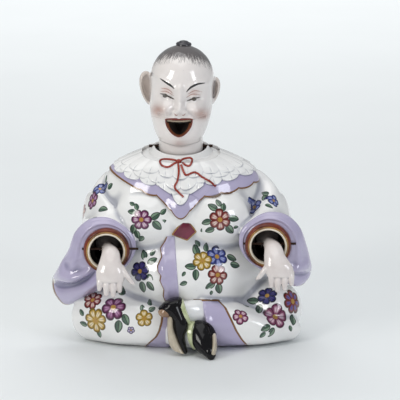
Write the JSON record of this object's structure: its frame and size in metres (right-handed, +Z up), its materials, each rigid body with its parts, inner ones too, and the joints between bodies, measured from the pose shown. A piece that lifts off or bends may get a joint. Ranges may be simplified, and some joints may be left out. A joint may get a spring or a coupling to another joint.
{
  "type": "porcelain nodding pagoda figure",
  "caption": "Seated cross-legged porcelain figure in a flowered robe, laughing, with a head and hands that nod on wire pins.",
  "frame": {"origin": "the middle of the flat base that the figure stands on, 2 mm behind the axis of its neck", "axes": "+Z up, the figure faces -Y, +X towards its left hand"},
  "size_m": [0.1748, 0.1273, 0.2013],
  "materials": {
    "painted_glaze": "glossy, hand-painted",
    "flesh_glaze": "glossy",
    "iron_wire": "dull, dark",
    "lead_weight": "dull grey"
  },
  "bodies": {
    "robe": {"body": "painted_glaze", "head_pin": "iron_wire", "right_hand_pin": "iron_wire", "left_hand_pin": "iron_wire"},
    "nodding_head": {"head": "flesh_glaze", "head_weight": "lead_weight"},
    "hand_of_right_arm": {"right_hand": "flesh_glaze"},
    "hand_of_left_arm": {"left_hand": "flesh_glaze"}
  },
  "joints": [
    {"name": "head_nod", "type": "hinge", "parent": "robe", "child": "nodding_head", "pos_m": [0, -0.002, 0.1292], "axis": [1, 0, 0], "range_deg": [-6, 6]},
    {"name": "right_hand_nod", "type": "hinge", "parent": "robe", "child": "hand_of_right_arm", "pos_m": [-0.049, -0.045, 0.069], "axis": [1, 0, 0], "range_deg": [-8, 8]},
    {"name": "left_hand_nod", "type": "hinge", "parent": "robe", "child": "hand_of_left_arm", "pos_m": [0.058, -0.045, 0.0725], "axis": [1, 0, 0], "range_deg": [-8, 8]}
  ]
}
